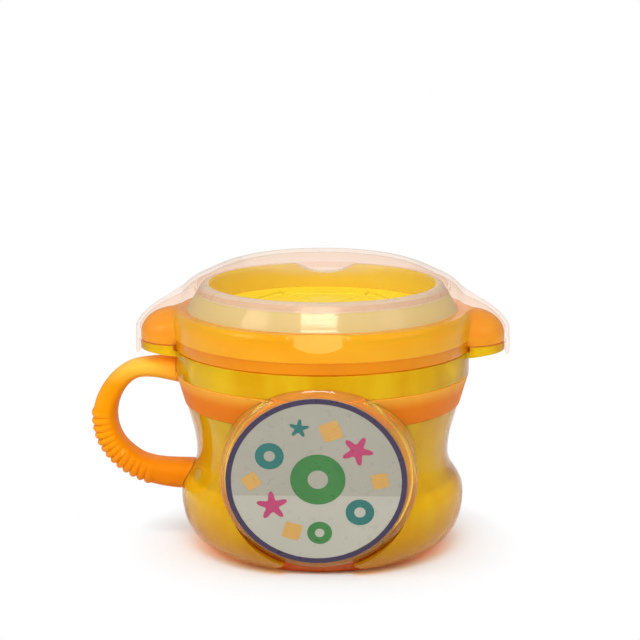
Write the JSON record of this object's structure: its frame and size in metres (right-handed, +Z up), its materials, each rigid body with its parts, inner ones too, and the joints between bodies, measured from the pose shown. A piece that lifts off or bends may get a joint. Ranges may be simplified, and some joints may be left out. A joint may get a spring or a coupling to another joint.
{
  "type": "toddler snack container",
  "caption": "Handled toddler snack cup with a twist-on eared lid, soft hand-access flaps and a clear dome cap.",
  "frame": {"origin": "Centre of the foot's flat underside, on the cup's axis, on the surface that the container stands on.", "axes": "+Z up along the cup's axis; -Y out of the front label; -X out of the handle; +X out of the ear opposite the handle."},
  "size_m": [0.1474, 0.1053, 0.102],
  "materials": {
    "cup_yellow": "see-through moulded yellow polypropylene",
    "foot_orange": "soft orange elastomer",
    "handle_orange": "satin orange elastomer, slightly translucent",
    "plate_clear": "see-through pale yellow polypropylene",
    "label_print": "printed satin label",
    "seal_white": "milky silicone",
    "lid_orange": "see-through moulded orange polypropylene",
    "flap_yellow": "soft satin yellow elastomer",
    "cap_clear": "clear plastic with a faint peach tint"
  },
  "bodies": {
    "cup": {"cup_body": "cup_yellow", "base_foot": "foot_orange", "handle_collar": "handle_orange", "label_plate": "plate_clear", "front_label": "label_print"},
    "seal": {"lid_seal": "seal_white"},
    "lid": {"lid_shell": "lid_orange", "flap_ring": "flap_yellow"},
    "cap": {"stay_fresh_cap": "cap_clear"},
    "flap_1": {"flap_1": "flap_yellow"},
    "flap_2": {"flap_2": "flap_yellow"},
    "flap_3": {"flap_3": "flap_yellow"},
    "flap_4": {"flap_4": "flap_yellow"},
    "flap_5": {"flap_5": "flap_yellow"},
    "flap_6": {"flap_6": "flap_yellow"}
  },
  "joints": [
    {"name": "lid_lift", "type": "slide", "parent": "cup", "child": "seal", "axis": [0, 0, 1], "range_m": [0, 0.045]},
    {"name": "lid_twist", "type": "hinge", "parent": "seal", "child": "lid", "pos_m": [0, 0, 0.0815], "axis": [0, 0, 1], "range_deg": [0, 40]},
    {"name": "cap_lift", "type": "slide", "parent": "lid", "child": "cap", "axis": [0, 0, 1], "range_m": [0, 0.04]},
    {"name": "flap_1_hinge", "type": "hinge", "parent": "lid", "child": "flap_1", "pos_m": [0, 0.027, 0.08455], "axis": [1, 0, 0], "range_deg": [-30, 65], "stiffness_Nm_per_rad": 0.008},
    {"name": "flap_2_hinge", "type": "hinge", "parent": "lid", "child": "flap_2", "pos_m": [-0.02338, 0.0135, 0.08455], "axis": [0.5, 0.866, 0], "range_deg": [-30, 65], "stiffness_Nm_per_rad": 0.008},
    {"name": "flap_3_hinge", "type": "hinge", "parent": "lid", "child": "flap_3", "pos_m": [-0.02338, -0.0135, 0.08455], "axis": [-0.5, 0.866, 0], "range_deg": [-30, 65], "stiffness_Nm_per_rad": 0.008},
    {"name": "flap_4_hinge", "type": "hinge", "parent": "lid", "child": "flap_4", "pos_m": [0, -0.027, 0.08455], "axis": [-1, 0, 0], "range_deg": [-30, 65], "stiffness_Nm_per_rad": 0.008},
    {"name": "flap_5_hinge", "type": "hinge", "parent": "lid", "child": "flap_5", "pos_m": [0.02338, -0.0135, 0.08455], "axis": [-0.5, -0.866, 0], "range_deg": [-30, 65], "stiffness_Nm_per_rad": 0.008},
    {"name": "flap_6_hinge", "type": "hinge", "parent": "lid", "child": "flap_6", "pos_m": [0.02338, 0.0135, 0.08455], "axis": [0.5, -0.866, 0], "range_deg": [-30, 65], "stiffness_Nm_per_rad": 0.008}
  ]
}
